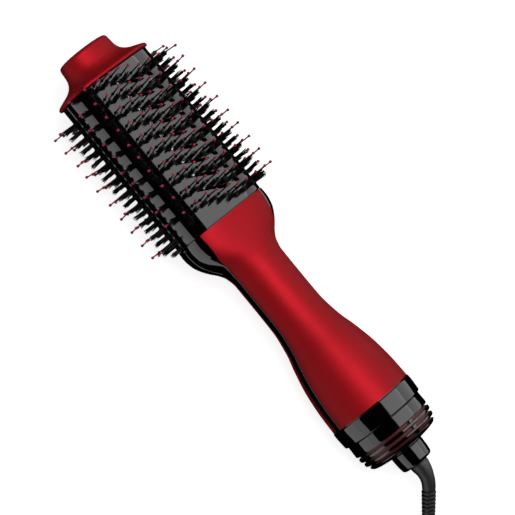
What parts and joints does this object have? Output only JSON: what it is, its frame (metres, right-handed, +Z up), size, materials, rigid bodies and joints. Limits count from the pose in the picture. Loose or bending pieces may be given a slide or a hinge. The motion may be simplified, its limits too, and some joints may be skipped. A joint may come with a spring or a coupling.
{
  "type": "hot-air styling brush",
  "caption": "Corded hot-air styling brush with a vented oval bristle barrel, a waisted two-shell handle, a rotating selector ring, a slotted intake cup, a swivelling cord and a mains plug.",
  "frame": {"origin": "on the floor under the middle of the brush without its cord, the brush lying on the bristles of its back face", "axes": "+X from the tip cap towards the cord, +Y across the wide face, +Z up out of the front face"},
  "size_m": [0.6185, 0.1202, 0.0833],
  "materials": {
    "red_shell": "satin soft-touch",
    "gloss_black": "polished",
    "bristle_black": "satin",
    "cord_black": "matt",
    "steel": "brushed",
    "brass": "plain",
    "mica": "flaky",
    "nylon": "moulded",
    "accent_red": "moulded",
    "core_black": "moulded"
  },
  "bodies": {
    "brush": {"tip_cap": "red_shell", "front_shell": "red_shell", "back_shell": "red_shell", "barrel_front": "gloss_black", "barrel_back": "gloss_black", "mid_frame": "gloss_black", "intake_cup": "gloss_black", "cord_hub": "gloss_black", "plug_body": "gloss_black", "front_pin_row_01": "bristle_black", "back_pin_row_01": "bristle_black", "front_pin_row_02": "bristle_black", "back_pin_row_02": "bristle_black", "front_pin_row_03": "bristle_black", "back_pin_row_03": "bristle_black", "front_pin_row_04": "bristle_black", "back_pin_row_04": "bristle_black", "front_pin_row_05": "bristle_black", "back_pin_row_05": "bristle_black", "front_pin_row_06": "bristle_black", "back_pin_row_06": "bristle_black", "front_pin_row_07": "bristle_black", "back_pin_row_07": "bristle_black", "front_pin_row_08": "bristle_black", "back_pin_row_08": "bristle_black", "front_pin_row_09": "bristle_black", "back_pin_row_09": "bristle_black", "front_pin_row_10": "bristle_black", "back_pin_row_10": "bristle_black", "right_side_pins": "bristle_black", "left_side_pins": "bristle_black", "power_cord": "cord_black", "cord_coil": "cord_black", "cord_tie": "cord_black", "plug_lead": "cord_black", "lead_wire_line": "cord_black", "lead_wire_neutral": "cord_black", "cap_screw": "steel", "shell_screw_left": "steel", "shell_screw_right": "steel", "heater_coil": "steel", "motor": "steel", "detent_spring": "steel", "plug_blade_line": "steel", "plug_blade_neutral": "steel", "thermostat": "brass", "heater_sleeve": "mica", "mica_cross": "mica", "barrel_core": "core_black", "thermal_fuse": "nylon", "motor_mount": "nylon", "switch_plate": "nylon", "intake_liner": "accent_red"},
    "selector": {"selector_ring": "gloss_black", "contact_wiper": "brass"},
    "fan": {"fan_rotor": "nylon"},
    "swivel": {"swivel_core": "nylon", "strain_relief": "cord_black"},
    "test": {"test_button": "nylon"},
    "reset": {"reset_button": "accent_red"}
  },
  "joints": [
    {"name": "selector_turn", "type": "hinge", "parent": "brush", "child": "selector", "pos_m": [0.13154, 0, 0.03121], "axis": [0.9989, 0, -0.0467], "range_deg": [0, 90]},
    {"name": "fan_spin", "type": "hinge", "parent": "brush", "child": "fan", "pos_m": [0.11296, 0, 0.03207], "axis": [0.9989, 0, -0.0467], "continuous": true},
    {"name": "cord_swivel", "type": "hinge", "parent": "brush", "child": "swivel", "pos_m": [0.1699, 0, 0.02941], "axis": [0.9989, 0, -0.0467], "continuous": true},
    {"name": "test_press", "type": "slide", "parent": "brush", "child": "test", "axis": [0, 0, -1], "range_m": [0, 0.0007], "stiffness_N_per_m": 1500},
    {"name": "reset_press", "type": "slide", "parent": "brush", "child": "reset", "axis": [0, 0, -1], "range_m": [0, 0.0007], "stiffness_N_per_m": 1500}
  ]
}
